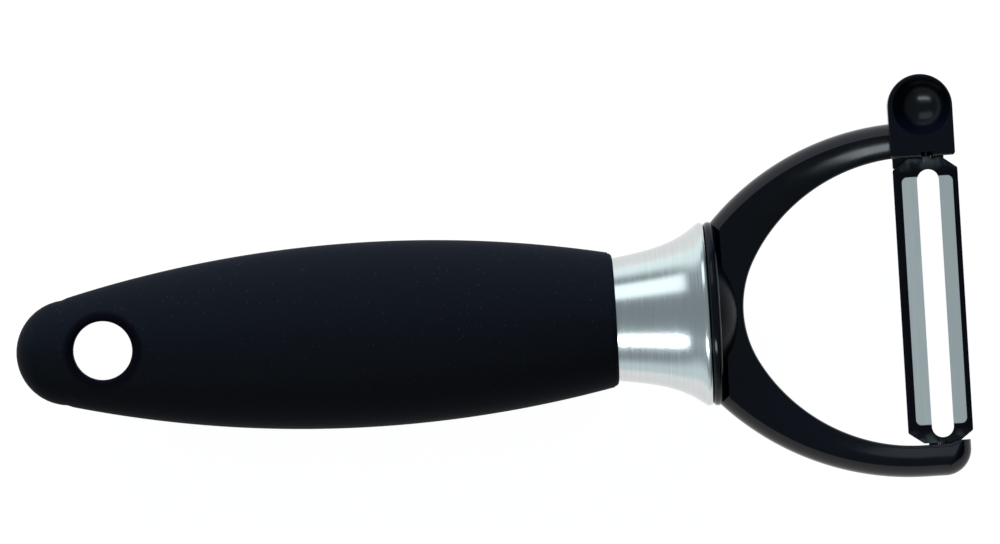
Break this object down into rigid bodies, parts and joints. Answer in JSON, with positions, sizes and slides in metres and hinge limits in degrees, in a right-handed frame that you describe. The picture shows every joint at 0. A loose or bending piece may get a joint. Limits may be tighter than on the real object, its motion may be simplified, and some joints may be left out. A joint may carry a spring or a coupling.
{
  "type": "vegetable peeler",
  "caption": "Y-shaped vegetable peeler with a soft oval grip, flared steel ferrule, bowed arms, swivel blade, potato eye gouger and hang hole.",
  "frame": {"origin": "centre of the hang hole, on the handle's middle plane", "axes": "+X along the handle to the blade, +Y towards the arm with the gouger, +Z out of the front, where the gouger's bowl opens"},
  "size_m": [0.1711, 0.0723, 0.0222],
  "materials": {
    "grip": "matt soft-touch black",
    "core": "moulded black",
    "ferrule": "brushed round the sleeve",
    "yoke": "gloss black",
    "blade": "polished dark with bare ground facets"
  },
  "bodies": {
    "handle": {"grip": "grip", "handle_core": "core", "ferrule": "ferrule", "yoke": "yoke"},
    "blade": {"blade": "blade"}
  },
  "joints": [
    {"name": "blade_swivel", "type": "hinge", "parent": "handle", "child": "blade", "pos_m": [0.15, 0, 0.0011], "axis": [0, 1, 0], "range_deg": [-18, 18]}
  ]
}
